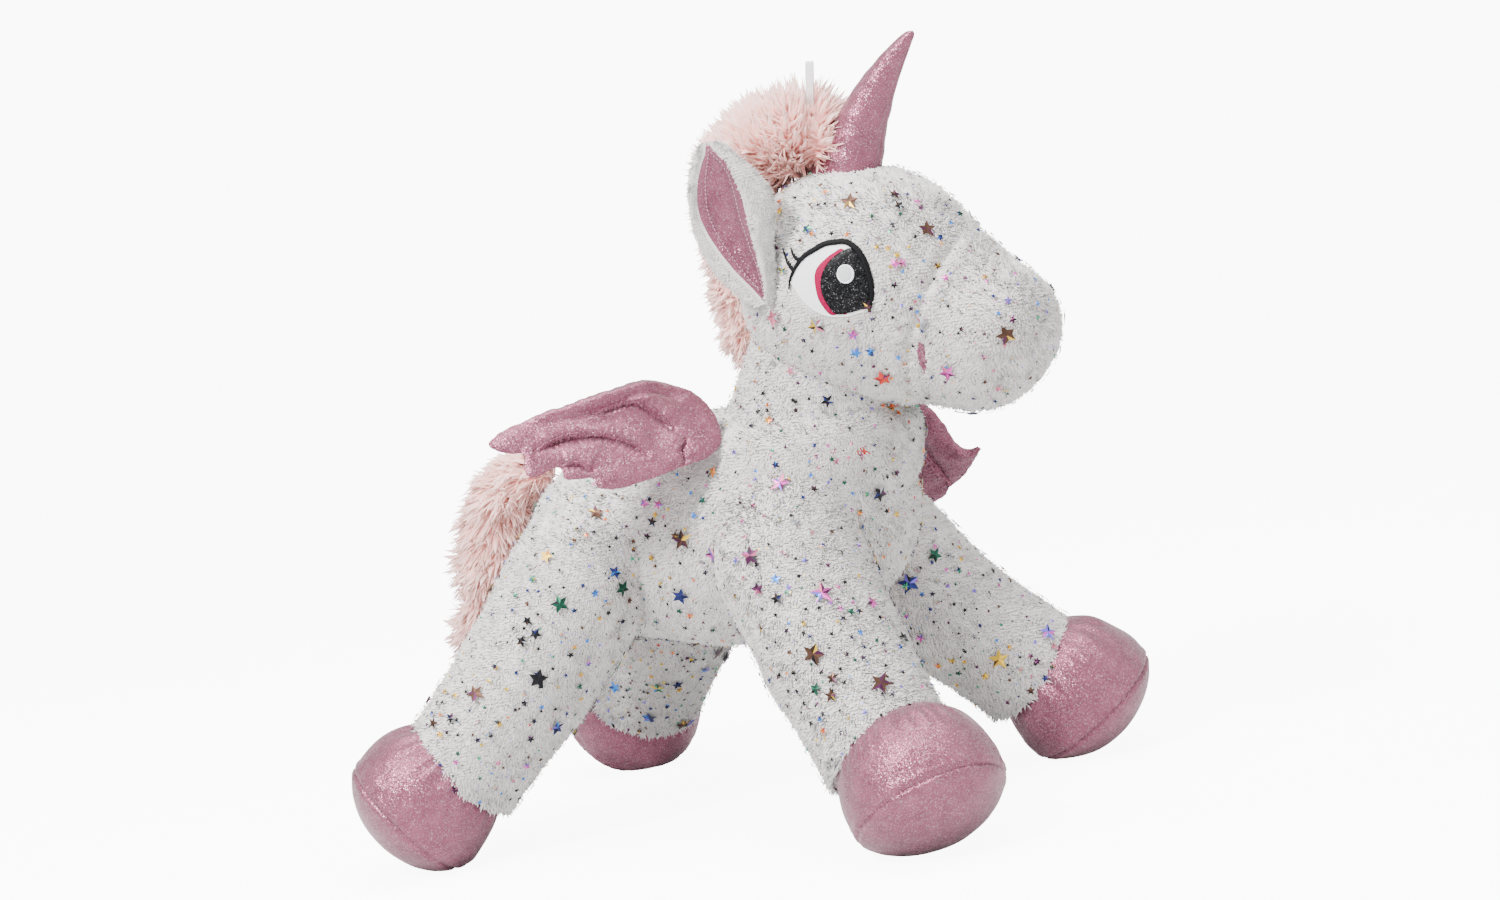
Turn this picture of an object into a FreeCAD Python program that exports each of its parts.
import FreeCAD, Part
import math
import os

# Plush winged unicorn, standing on four splayed legs.
# Frame: +Z up, the animal faces -Y, its right side is -X.
# Origin: on the floor, in the left-right middle plane, under the middle of the whole length.
# The shapes are drawn about a zero near mid-body and shifted along Y when they are written.
# All lengths in millimetres, all angles in degrees.
# An "offset" grows a body outwards; a negative one gives the inside of its cover.

Vec = FreeCAD.Vector
X, Y, Z = Vec(1, 0, 0), Vec(0, 1, 0), Vec(0, 0, 1)

# ---------------------------------------------------------------- driving dimensions
SHIFT_Y = 24.74         # from the drawing's zero to the origin, along Y
CLOTH = 2.0             # thickness of plush or foil cloth, pile left out
SLIP = 0.5              # room between a cover and its stuffing
RUN = 1.2               # room between two bodies that move on each other
SEAM_HALF_GAP = 0.15    # half the gap between two covers that meet at a plane

SHOULDER = Vec(75, -105, 200)        # left shoulder centre
HIP = Vec(75, 85, 195)               # left hip centre
FRONT_LEG_END = Vec(136, -195, 45)   # a point on the left front leg's line, past its sleeve
HIND_LEG_END = Vec(144, 186, 45)     # the same on the left hind leg
LEG_TOP_R = 57.0                     # radius of the thigh and the upper arm
LEG_FLAT_X = 55.0                    # inner flat of every leg
LEG_SWING = 22.0                     # swing each way that the body's wells leave room for

NECK_C = Vec(0, -119, 343)           # nod centre, also on the neck's turning axis
NECK_R = 63.0
NECK_SEAT_Z = 300.0                  # top of the body under the neck

HEAD_C = Vec(0, -156, 394)           # cranium centre
MUZZLE_C = Vec(0, -250, 344)         # muzzle centre
HEAD_RZ, HEAD_RX = 90.0, 84.0        # cranium radii, in the side view and across
MUZZLE_RZ, MUZZLE_RX = 57.0, 58.0    # muzzle radii, the same way

HORN_BASE = Vec(0, -166, 482.5)
HORN_TIP = Vec(0, -231, 570.5)
HORN_R = 21.0

LOOP_BASE = Vec(0, -132.5, 486)      # foot of the hang loop
TAIL_ROOT = Vec(0, 152, 276)


# ---------------------------------------------------------------- helpers
def unit(vector):
    return vector * (1.0 / vector.Length)


def square_to(vector, axis):
    """unit vector along the part of vector that is square to the unit axis"""
    return unit(vector - axis * vector.dot(axis))


def closed_wire(points):
    curve = Part.BSplineCurve()
    curve.interpolate(points, PeriodicFlag=True)
    return Part.Wire([curve.toShape()])


def ring(centre, u, v, radius_u, radius_v, count=12, power=2.0):
    """closed smooth wire, a superellipse round centre in the plane of u and v"""
    points = []
    for i in range(count):
        angle = 2 * math.pi * i / count
        cos, sin = math.cos(angle), math.sin(angle)
        along_u = math.copysign(abs(cos) ** (2.0 / power), cos) * radius_u
        along_v = math.copysign(abs(sin) ** (2.0 / power), sin) * radius_v
        points.append(centre + u * along_u + v * along_v)
    return closed_wire(points)


def loft(wires):
    return Part.makeLoft(wires, True, False)


def box(x0, x1, y0, y1, z0, z1):
    return Part.makeBox(x1 - x0, y1 - y0, z1 - z0, Vec(x0, y0, z0))


def polygon_prism(points, travel):
    return Part.Face(Part.makePolygon(points + [points[0]])).extrude(travel)


def side_prism(outline, x0, width):
    """prism of a side-view outline of (y, z) points, from x0 towards +X"""
    return polygon_prism([Vec(x0, y, z) for y, z in outline], X * width)


def half_space(point, normal, size=600.0):
    """big block on the side of the plane through point that normal points to"""
    normal = unit(normal)
    side = unit(normal.cross(X if abs(normal.x) < 0.9 else Y))
    up = normal.cross(side)
    half = size / 2.0
    corners = ((-1, -1), (1, -1), (1, 1), (-1, 1))
    points = [point + side * (a * half) + up * (b * half) for a, b in corners]
    return polygon_prism(points, normal * size)


def split_at_seam(skin, point, normal):
    """the parts of a cover behind and ahead of a seam plane"""
    gap = normal * SEAM_HALF_GAP
    return (skin.common(half_space(point - gap, -normal)),
            skin.common(half_space(point + gap, normal)))


def mirror(shape):
    return shape.mirror(Vec(0, 0, 0), X)


def cover_and_stuffing(make_body):
    """hollow cover and the stuffing inside it; make_body takes an offset"""
    return make_body(0.0).cut(make_body(-CLOTH)), make_body(-CLOTH - SLIP)


def write(name, shape):
    solids = [s for s in shape.Solids if s.Volume > 1.0]
    if not solids:
        raise RuntimeError(name + " came out empty")
    piece = solids[0] if len(solids) == 1 else Part.makeCompound(solids)
    piece = piece.copy()
    piece.translate(Y * SHIFT_Y)
    piece.exportStep("parts/" + name + ".step")


def write_stuffed(name, make_body):
    shell, stuffing = cover_and_stuffing(make_body)
    write(name + "_shell", shell)
    write(name + "_stuffing", stuffing)


def write_pair(name, shape, sides=("right", "left")):
    """writes the shape for the first side and its mirror image for the second"""
    write(name.format(sides[0]), shape)
    write(name.format(sides[1]), mirror(shape))


# ---------------------------------------------------------------- body
# y, centre height, half width, half height
TORSO = [
    (-174.0, 236.0, 26.0, 30.0),
    (-165.0, 236.0, 50.0, 54.0),
    (-148.0, 236.0, 68.0, 74.0),
    (-115.0, 236.0, 83.0, 90.0),
    (-60.0, 232.0, 89.0, 95.0),
    (0.0, 223.0, 89.0, 91.0),
    (60.0, 215.0, 87.0, 81.0),
    (110.0, 216.0, 82.0, 74.0),
    (138.0, 221.0, 70.0, 62.0),
    (153.0, 224.0, 52.0, 46.0),
    (160.0, 226.0, 28.0, 25.0),
]
TORSO_POWER = 2.15          # slightly squarer than an ellipse
WELL_R = LEG_TOP_R + RUN + 0.4
WELL_X = LEG_FLAT_X - 0.6   # inner wall of a leg well
WELL_DEPTH = 90.0           # from the inner wall outwards
WELL_REACH = 210.0          # length of the swing wedge
WELL_SPARE_SWING = 1.5
TAIL_POCKET_R = 13.0 + RUN


def torso_blank(offset):
    end_shift = {0: -offset, len(TORSO) - 1: offset}
    wires = []
    for i, (y, z, half_x, half_z) in enumerate(TORSO):
        centre = Vec(0, y + end_shift.get(i, 0.0), z)
        wires.append(ring(centre, X, Z, half_x + offset, half_z + offset, 14, TORSO_POWER))
    return loft(wires)


def leg_wells(pivot, leg_end, offset):
    """room the left and right legs sweep: a round about the pivot and the wedge they swing in"""
    radius = WELL_R - offset
    x0 = WELL_X + offset
    rest = math.atan2(leg_end.z - pivot.z, leg_end.y - pivot.y)
    swing = math.radians(LEG_SWING + WELL_SPARE_SWING)
    centre = Vec(x0, pivot.y, pivot.z)
    edges = []
    for sign in (-1.0, 1.0):
        cos, sin = math.cos(rest + sign * swing), math.sin(rest + sign * swing)
        base = centre + Vec(0, -sin, cos) * (sign * radius)
        edges.append((base, base + Vec(0, cos, sin) * WELL_REACH))
    (base_a, tip_a), (base_b, tip_b) = edges
    wedge = polygon_prism([base_a, tip_a, tip_b, base_b], X * WELL_DEPTH)
    left = Part.makeCylinder(radius, WELL_DEPTH, centre, X).fuse(wedge)
    return [left, mirror(left)]


def torso(offset):
    """the wells and pockets grow as the body shrinks"""
    seat = Vec(NECK_C.x, NECK_C.y, NECK_SEAT_Z + offset)
    cutters = leg_wells(SHOULDER, FRONT_LEG_END, offset)
    cutters += leg_wells(HIP, HIND_LEG_END, offset)
    cutters += [
        Part.makeCylinder(NECK_R + RUN - offset, 120.0, seat, Z),
        Part.makeSphere(TAIL_POCKET_R - offset, TAIL_ROOT),
    ]
    return torso_blank(offset).cut(cutters)


# ---------------------------------------------------------------- neck
NECK_LIFT = 0.5     # from the body's seat to the neck's flat underside


def neck(offset):
    ball = Part.makeSphere(NECK_R + offset, NECK_C)
    return ball.common(box(-100, 100, -230, 0, NECK_SEAT_Z + NECK_LIFT - offset, 460))


# ---------------------------------------------------------------- head
HEAD_LEN = (MUZZLE_C - HEAD_C).Length
HEAD_AXIS = unit(MUZZLE_C - HEAD_C)         # towards the nose
HEAD_UP = unit(HEAD_AXIS.cross(X))
MUZZLE_SEAM = 73.0      # seam plane, along the head's axis from the cranium centre
HEAD_TRIM_Z = 318.0     # trim under the head
HEAD_TRIM_R = 78.0
HEAD_TRIM_DEPTH = 200.0

# ring places along the head's axis: from the back end, from the cranium centre, and
# back from the nose end
HEAD_FROM_BACK = (1.5, 8, 22, 45)
HEAD_FROM_CENTRE = (-18.0, 10.0, 36.0, 62.0, 88.0, 108.0)
HEAD_FROM_NOSE = (40, 22, 9, 1.5)


def hull_half(place, r1, r2, span):
    """half height at place of the outline round two circles, r1 at 0 and r2 at span"""
    slope = math.asin((r1 - r2) / span)
    touch1 = r1 * math.sin(slope)
    touch2 = span + r2 * math.sin(slope)
    if place < touch1:
        return math.sqrt(max(r1 * r1 - place * place, 0.0))
    if place > touch2:
        return math.sqrt(max(r2 * r2 - (place - span) ** 2, 0.0))
    half1, half2 = r1 * math.cos(slope), r2 * math.cos(slope)
    return half1 + (half2 - half1) * (place - touch1) / (touch2 - touch1)


def head_blank(offset):
    cranium_z, muzzle_z = HEAD_RZ + offset, MUZZLE_RZ + offset
    cranium_x, muzzle_x = HEAD_RX + offset, MUZZLE_RX + offset
    back = -min(cranium_z, cranium_x)
    nose = HEAD_LEN + min(muzzle_z, muzzle_x)
    places = [back + step for step in HEAD_FROM_BACK]
    places += HEAD_FROM_CENTRE
    places += [nose - step for step in HEAD_FROM_NOSE]
    wires = []
    for place in places:
        half_z = hull_half(place, cranium_z, muzzle_z, HEAD_LEN)
        half_x = hull_half(place, cranium_x, muzzle_x, HEAD_LEN)
        wires.append(ring(HEAD_C + HEAD_AXIS * place, X, HEAD_UP, half_x, half_z, 14))
    return loft(wires)


def head(offset):
    trim_base = Vec(NECK_C.x, NECK_C.y, HEAD_TRIM_Z - offset - HEAD_TRIM_DEPTH)
    return head_blank(offset).cut([
        Part.makeSphere(NECK_R + RUN - offset, NECK_C),
        Part.makeCylinder(HEAD_TRIM_R - offset, HEAD_TRIM_DEPTH, trim_base, Z),
        Part.makeSphere(HORN_R + RUN - offset, HORN_BASE),
    ])


def write_head():
    skin, stuffing = cover_and_stuffing(head)
    seam = HEAD_C + HEAD_AXIS * MUZZLE_SEAM
    cranium, muzzle = split_at_seam(skin, seam, HEAD_AXIS)
    write("head_shell", cranium)
    write("muzzle_shell", muzzle)
    write("head_stuffing", stuffing)


# ---------------------------------------------------------------- face patches on the head
def oval(centre_y, centre_z, radius_y, radius_z, count, tilt=0.0):
    cos_tilt, sin_tilt = math.cos(math.radians(tilt)), math.sin(math.radians(tilt))
    points = []
    for i in range(count):
        angle = 2 * math.pi * i / count
        y, z = radius_y * math.cos(angle), radius_z * math.sin(angle)
        points.append((centre_y + y * cos_tilt - z * sin_tilt,
                       centre_z + y * sin_tilt + z * cos_tilt))
    return points


# side-view outlines, (y, z)
EYE_WHITE = [
    (-144, 407), (-150, 416), (-158, 424), (-167, 429), (-179, 431), (-190, 429),
    (-197, 422), (-201, 410), (-202, 398), (-199, 384), (-190, 378), (-178, 376),
    (-165, 380), (-155, 388), (-148, 397),
]
LASHES = [
    (-140, 409), (-147, 421), (-156, 429), (-167, 434), (-179, 436), (-191, 434),
    (-199, 427), (-204, 415), (-206, 402), (-203.2, 402), (-202.2, 414), (-197.5, 423.5),
    (-190, 430.5), (-179, 432.5), (-167, 430.5), (-158, 425.5), (-150, 417.5), (-144, 408.5),
]
MOUTH = [
    (-224, 361), (-219, 350), (-218, 338), (-221, 328), (-227, 321), (-231, 327),
    (-229, 338), (-229, 350),
]
# name, outline, and the heights above the head between which the patch lies
EYE_PATCHES = [
    ("white", EYE_WHITE, 0.3, 1.1),
    ("iris", oval(-184, 403, 16.5, 24.5, 20, 4), 1.2, 1.7),
    ("pupil", oval(-187, 403, 13, 21.5, 20, 4), 1.8, 2.4),
    ("highlight", oval(-188, 408, 5.6, 6.2, 16), 2.5, 3.0),
    ("lashes", LASHES, 0.3, 1.7),
]


def face_patch(outline, low, high):
    """patch on the right side of the head"""
    prism = side_prism(outline, -140.0, 110.0)
    return head_blank(high).cut(head_blank(low)).common(prism)


def write_face():
    for name, outline, low, high in EYE_PATCHES:
        write_pair("eye_{}_" + name, face_patch(outline, low, high))
    mouth = face_patch(MOUTH, 0.3, 1.2)
    write("mouth_lining", Part.makeCompound([mouth, mirror(mouth)]))


# ---------------------------------------------------------------- horn
# share of the way from base to tip, radius
HORN = [
    (-0.188, 5.0), (-0.16, 11.5), (-0.1, 17.4), (0.0, 20.6), (0.2, 19.6),
    (0.45, 15.9), (0.7, 10.4), (0.88, 6.2), (0.96, 3.8), (1.0, 2.2),
]
HORN_BOW = 6.5              # bulge of the middle up and back from the straight line
HORN_MIN_R = 0.6            # thinner rings are left out
HORN_TIP_SHIFT = 0.028      # share of the way that the tip rings move per mm of offset
HORN_ROOT_SHIFT = 1 / 107.0     # the same for the lowest ring


def horn(offset):
    line = HORN_TIP - HORN_BASE
    side = unit(X.cross(unit(line)))
    wires = []
    for share, ring_r in HORN:
        radius = ring_r + offset
        if radius < HORN_MIN_R:
            continue
        bow = side * (-HORN_BOW * math.sin(math.pi * max(share, 0.0)))
        place = share
        if share > 0.8:
            place += HORN_TIP_SHIFT * offset
        if share < -0.17:
            place -= HORN_ROOT_SHIFT * offset
        wires.append(ring(HORN_BASE + line * place + bow, X, side, radius, radius))
    return loft(wires)


# ---------------------------------------------------------------- mane
# outer edge in the side view, (y, z), from the forehead over the top and down the back
MANE_EDGE = [
    (-150, 512), (-149, 532), (-144, 545), (-131, 552), (-117, 554), (-104, 549),
    (-83, 548), (-59, 532), (-45, 512), (-36, 486), (-30, 460), (-24, 430),
    (-24, 404), (-29, 378), (-34, 360), (-44, 352),
]
MANE_NECK_ANGLES = (8, 20, 31)
MANE_HEAD_ANGLES = (2, 12, 22, 32, 42, 52, 62, 72, 82, 88)
MANE_HALF_W = 18.0
# slot for the hang loop, (y, z) from the loop's foot
LOOP_SLOT = [(-7, -8), (-28, 75), (26, 75), (7, -8)]
LOOP_SLOT_HALF_W = 3.2


def side_arc(centre, radius, angles):
    """side-view points round centre, angles from +Y towards +Z"""
    turns = [math.radians(a) for a in angles]
    return [(centre.y + radius * math.cos(t), centre.z + radius * math.sin(t)) for t in turns]


def mane():
    """one fur strip, its inner edge following the neck and the head"""
    outline = (MANE_EDGE
               + side_arc(NECK_C, NECK_R + RUN + 3.0, MANE_NECK_ANGLES)
               + side_arc(HEAD_C, HEAD_RZ + RUN + 0.6, MANE_HEAD_ANGLES))
    slot_outline = [(LOOP_BASE.y + y, LOOP_BASE.z + z) for y, z in LOOP_SLOT]
    slot = side_prism(slot_outline, -LOOP_SLOT_HALF_W, 2 * LOOP_SLOT_HALF_W)
    strip = side_prism(outline, -MANE_HALF_W, 2 * MANE_HALF_W)
    return strip.cut([slot, Part.makeSphere(HORN_R + 5.0, HORN_BASE)])


# ---------------------------------------------------------------- hang loop
RIBBON = 0.7            # thickness of one layer
RIBBON_HALF_W = 3.2
LOOP_HEIGHT = 76.0
LOOP_TILT = 10.0        # about X, which leans the top forwards


def hang_loop():
    """narrow ribbon folded double, open above its foot"""
    outer_x = 2 * RIBBON
    loop = box(-outer_x, outer_x, -RIBBON_HALF_W, RIBBON_HALF_W, 0, LOOP_HEIGHT)
    loop = loop.cut(box(-RIBBON, RIBBON, -4, 4, 9, LOOP_HEIGHT - RIBBON))
    foot = box(-outer_x, outer_x, -RIBBON_HALF_W, RIBBON_HALF_W, 0, 4)
    loop = loop.fuse(foot)
    loop.rotate(Vec(0, 0, 0), X, LOOP_TILT)
    loop.translate(LOOP_BASE)
    return loop.removeSplitter()


# ---------------------------------------------------------------- ears
def leaf(outline, frame, low, high, shrink=0.0):
    """flat piece with a smooth outline, from low to high along the frame's normal

    frame: base point, the outline's two axes, normal.
    shrink: how far each point moves towards the mean of the outline's points.
    """
    base, u, v, normal = frame
    mean_u = sum(p[0] for p in outline) / len(outline)
    mean_v = sum(p[1] for p in outline) / len(outline)
    points = []
    for a, b in outline:
        reach = math.hypot(a - mean_u, b - mean_v)
        scale = (reach - shrink) / reach
        along_u = u * (mean_u + (a - mean_u) * scale)
        along_v = v * (mean_v + (b - mean_v) * scale)
        points.append(base + along_u + along_v + normal * low)
    return Part.Face(closed_wire(points)).extrude(normal * (high - low))


EAR_BASE = Vec(-79.5, -110, 400)    # right ear, middle of the sewn edge
EAR_TIP = Vec(-97, -104, 517)
EAR_HALF_T = 3.2                    # half thickness of the plush back
EAR_TURN = 0.35                     # how far the ear's width leans from +Y towards +X
# backwards across the ear, up the ear
EAR = [
    (0, 0), (14, 4), (25, 22), (32, 48), (33, 72), (26, 96), (12, 114), (1, 119),
    (-10, 113), (-22, 96), (-29, 72), (-28, 46), (-20, 20), (-10, 4),
]


def write_ears():
    """plush back, with a smaller foil lining on its outward face"""
    up = unit(EAR_TIP - EAR_BASE)
    across = square_to(unit(square_to(Y, up) + X * EAR_TURN), up)
    frame = (EAR_BASE, across, up, unit(up.cross(across)))
    lining_low = EAR_HALF_T + 0.2
    write_pair("ear_{}_back", leaf(EAR, frame, -EAR_HALF_T, EAR_HALF_T))
    write_pair("ear_{}_lining", leaf(EAR, frame, lining_low, lining_low + CLOTH, 7.0))


# ---------------------------------------------------------------- wings
# side, middle of the seam line, tip, rough direction of the seam
WINGS = [
    ("right", Vec(-79, -44, 303), Vec(-193, 61, 326.5), Vec(-0.66, 0, -0.75)),
    ("left", Vec(79, -40, 303), Vec(165, -157, 240), Vec(0.66, 0, -0.75)),
]
WING_HALF_T = 7.0       # half thickness of a padded wing
WING_HALF_GAP = 0.1     # from the middle plane to each panel
# along the wing from the seam line, down along the seam
WING = [
    (4, -40), (32, -41), (66, -36), (100, -24), (131, -13), (148, -7), (156.5, 2),
    (150, 11), (142, 14), (143, 30), (128, 36), (114, 30), (112, 46), (94, 50),
    (86, 47), (66, 54), (40, 52), (16, 46), (2, 38), (-1, 10), (-1, -18),
]
# the batting has no notches between the feathers and stays clear of the panels' edges
WING_PAD = [
    (8, -33), (34, -34), (66, -30), (98, -18), (126, -7), (139, 0), (133, 8),
    (125, 20), (108, 23), (97, 37), (84, 39), (62, 45), (40, 44), (18, 38),
    (8, 30), (5, 8), (5, -16),
]


def write_wing(side, root, tip, seam):
    """two foil panels, each hollowed from the middle plane, and the batting between them"""
    along = unit(tip - root)
    down = square_to(unit(seam), along)
    frame = (root, along, down, unit(down.cross(along)))
    inside = WING_HALF_T - CLOTH
    outer = leaf(WING, frame, WING_HALF_GAP, WING_HALF_T)
    outer = outer.cut(leaf(WING, frame, -1.0, inside, CLOTH))
    inner = leaf(WING, frame, -WING_HALF_T, -WING_HALF_GAP)
    inner = inner.cut(leaf(WING, frame, -inside, 1.0, CLOTH))
    name = "wing_" + side
    write(name + "_outer_panel", outer)
    write(name + "_inner_panel", inner)
    write(name + "_batting", leaf(WING_PAD, frame, -inside + SLIP, inside - SLIP))


# ---------------------------------------------------------------- tail
# y, z, half width across, half thickness
TAIL = [
    (162, 280, 10, 8),
    (180, 276, 18, 14),
    (200, 248, 26, 21),
    (208, 205, 27, 24),
    (216, 170, 25, 24),
    (236, 142, 18, 17),
    (248, 130, 8, 8),
]
TAIL_ROOT_R = 12.0


def tail_fur():
    """hanging fur, hollowed round the root ball; each ring is square to its neighbours' line"""
    centres = [Vec(0, y, z) for y, z, _, _ in TAIL]
    wires = []
    for i, (_, _, half_x, half_t) in enumerate(TAIL):
        before = centres[max(i - 1, 0)]
        after = centres[min(i + 1, len(TAIL) - 1)]
        across = unit(X.cross(unit(after - before)))
        wires.append(ring(centres[i], X, across, half_x, half_t))
    return loft(wires).cut(Part.makeSphere(TAIL_ROOT_R + 0.3, TAIL_ROOT))


# ---------------------------------------------------------------- legs and hooves
# name, pivot, leg end, hoof centre, the way the sole faces; all for the left side
LEGS = [
    ("front", SHOULDER, FRONT_LEG_END, Vec(143, -219, 48), Vec(0.32, -0.49, -0.81)),
    ("hind", HIP, HIND_LEG_END, Vec(157, 203, 52), Vec(0.42, 0.68, -0.60)),
]
SLEEVE_BACK = 28.0      # from the leg end back to the seam of sleeve and hoof
SLEEVE_GAP = 0.2        # left on each side of that seam
SOLE_SEAM = 17.0        # sole seam, along the hoof from its centre
HOOF_R = 58.5           # hoof radius
HOOF_L = 46.0           # from the hoof centre to the end of the bulb on the sole side

# share of the sleeve's length, radius; the first ring lies just inside the pivot ball
SLEEVE = [(0.0, LEG_TOP_R - 0.05), (0.35, 54.5), (0.68, 49.5), (0.9, 48.5), (1.0, 45.0)]
# along the hoof from its centre towards the sole, radius
HOOF = [
    (-60.0, 0.0), (-56.0, 22.0), (-42.0, 42.5), (-22.0, 54.0), (0.0, HOOF_R),
    (18.0, 55.0), (32.0, 43.5), (42.0, 25.0), (HOOF_L, 0.0),
]


def leg_sleeve(pivot, leg_end, offset):
    """tapered tube from a ball at the pivot, cut flat on its inner side"""
    along = unit(leg_end - pivot)
    side = unit(along.cross(Y))
    up = side.cross(along)
    sleeve_len = (leg_end - pivot).Length - SLEEVE_BACK
    wires = []
    for share, ring_r in SLEEVE:
        place = sleeve_len * share
        if share == 1.0:
            place += offset - SLEEVE_GAP
        radius = ring_r + offset
        wires.append(ring(pivot + along * place, side, up, radius, radius))
    body = loft(wires).fuse(Part.makeSphere(LEG_TOP_R + offset, pivot))
    return body.common(box(LEG_FLAT_X - offset, 260, -320, 320, -20, 400))


def hoof_bulb(centre, facing, offset):
    """turned bulb, cut flat where it stands on the floor"""
    scale_r = (HOOF_R + offset) / HOOF_R
    scale_l = (HOOF_L + offset) / HOOF_L
    points = [Vec(radius * scale_r, 0, place * scale_l) for place, radius in HOOF]
    curve = Part.BSplineCurve()
    curve.interpolate(points, InitialTangent=X, FinalTangent=-X)
    wire = Part.Wire([curve.toShape(), Part.makeLine(points[-1], points[0])])
    solid = Part.Face(wire).revolve(Vec(0, 0, 0), Z, 360)
    # the turned solid may come out inside out
    if solid.Volume < 0:
        solid.reverse()
    solid.Placement = FreeCAD.Placement(centre, FreeCAD.Rotation(Z, facing))
    return solid.common(box(-300, 300, -400, 400, -offset, 200))


def write_legs(name, pivot, leg_end, centre, facing):
    along = unit(leg_end - pivot)
    facing = unit(facing)
    seam = leg_end - along * SLEEVE_BACK

    def sleeve(offset):
        return leg_sleeve(pivot, leg_end, offset)

    def hoof(offset):
        start = seam + along * (SLEEVE_GAP - offset)
        return hoof_bulb(centre, facing, offset).common(half_space(start, along))

    leg_shell, leg_stuffing = cover_and_stuffing(sleeve)
    hoof_skin, hoof_stuffing = cover_and_stuffing(hoof)
    upper, sole = split_at_seam(hoof_skin, centre + facing * SOLE_SEAM, facing)
    pieces = [
        ("leg", "shell", leg_shell),
        ("leg", "stuffing", leg_stuffing),
        ("hoof", "upper", upper),
        ("hoof", "sole", sole),
        ("hoof", "stuffing", hoof_stuffing),
    ]
    for part, layer, shape in pieces:
        write_pair(part + "_" + name + "_{}_" + layer, shape, ("left", "right"))


# ---------------------------------------------------------------- build and write
os.makedirs("parts", exist_ok=True)
write_stuffed("torso", torso)
write_stuffed("neck", neck)
write_head()
write_face()
write_stuffed("horn", horn)
write("mane_fur", mane())
write("hang_loop", hang_loop())
write_ears()
for wing in WINGS:
    write_wing(*wing)
write("tail_root", Part.makeSphere(TAIL_ROOT_R, TAIL_ROOT))
write("tail_fur", tail_fur())
for leg in LEGS:
    write_legs(*leg)
